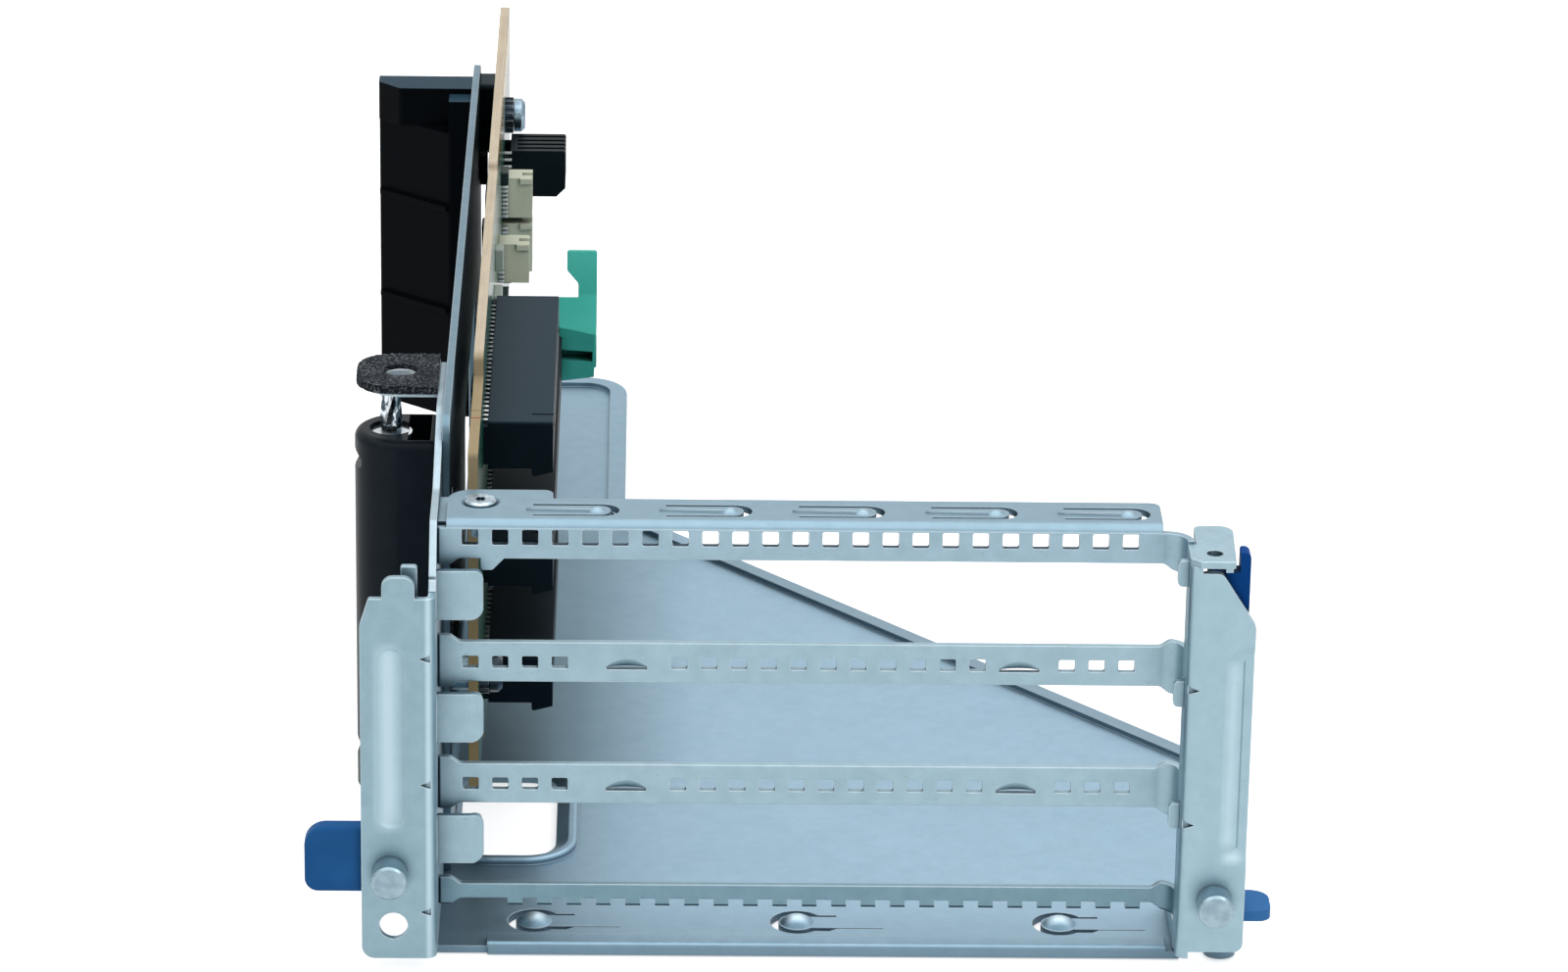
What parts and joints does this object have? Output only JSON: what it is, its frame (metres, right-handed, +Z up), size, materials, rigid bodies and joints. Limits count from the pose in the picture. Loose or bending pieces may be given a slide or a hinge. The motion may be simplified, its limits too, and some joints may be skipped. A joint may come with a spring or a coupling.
{
  "type": "riser card in a slot cage",
  "caption": "Sheet-metal expansion cage with perforated slot rails, an upright riser board with card-edge connectors, a card latch and a swinging bracket retainer.",
  "frame": {"origin": "middle of the box round the part, on the underside of the cover plate", "axes": "X runs along the rails from the board side to the retainer side, Y from the slot openings back along the board, Z up from the cover plate to the board edge that plugs in"},
  "size_m": [0.1492, 0.2644, 0.0808],
  "materials": {
    "zinc_sheet": "zinc plated sheet, dull with a faint blue cast",
    "bright_steel": "plated steel, smooth",
    "black_plastic": "moulded, fine grain",
    "board_laminate": "glass-fibre laminate with a solder mask and pale cut edges",
    "green_plastic": "moulded, satin",
    "beige_plastic": "moulded, matt",
    "blue_plastic": "moulded, satin",
    "foam": "conductive foam covered with woven cloth"
  },
  "bodies": {
    "cage": {"base_plate": "zinc_sheet", "left_wall": "zinc_sheet", "left_post": "zinc_sheet", "right_post": "zinc_sheet", "top_rail": "zinc_sheet", "upper_rail": "zinc_sheet", "lower_rail": "zinc_sheet", "bottom_rail": "zinc_sheet", "side_plate": "zinc_sheet", "left_stud": "bright_steel", "pivot_stud": "bright_steel", "rail_screw": "bright_steel", "plate_rivets": "bright_steel", "board_screws": "bright_steel", "board_standoffs": "bright_steel", "latch_pin": "bright_steel", "driver_bit": "bright_steel", "board_washers": "black_plastic", "board_spacer": "black_plastic", "slot_connector_top": "black_plastic", "slot_connector_middle": "black_plastic", "slot_connector_bottom": "black_plastic", "power_header": "black_plastic", "board_components": "black_plastic", "back_components": "black_plastic", "air_baffle": "black_plastic", "driver_holder": "black_plastic", "riser_board": "board_laminate", "signal_socket_1": "beige_plastic", "signal_socket_2": "beige_plastic", "signal_socket_3": "beige_plastic", "lift_tab": "blue_plastic", "foam_pad": "foam", "screw_tab": "zinc_sheet", "hook_tab": "zinc_sheet", "foam_tab": "zinc_sheet", "bracket_clips": "zinc_sheet", "spring_tab": "zinc_sheet", "flange_nubs": "zinc_sheet"},
    "latch": {"connector_latch": "green_plastic"},
    "retainer": {"retainer_lever": "blue_plastic"}
  },
  "joints": [
    {"name": "latch_tilt", "type": "hinge", "parent": "cage", "child": "latch", "pos_m": [-0.0451, 0.0313, 0.04419], "axis": [0, 0, 1], "range_deg": [0, 20]},
    {"name": "retainer_swing", "type": "hinge", "parent": "cage", "child": "retainer", "pos_m": [0.0655, -0.125, 0.0127], "axis": [0, 1, 0], "range_deg": [0, 80]}
  ]
}
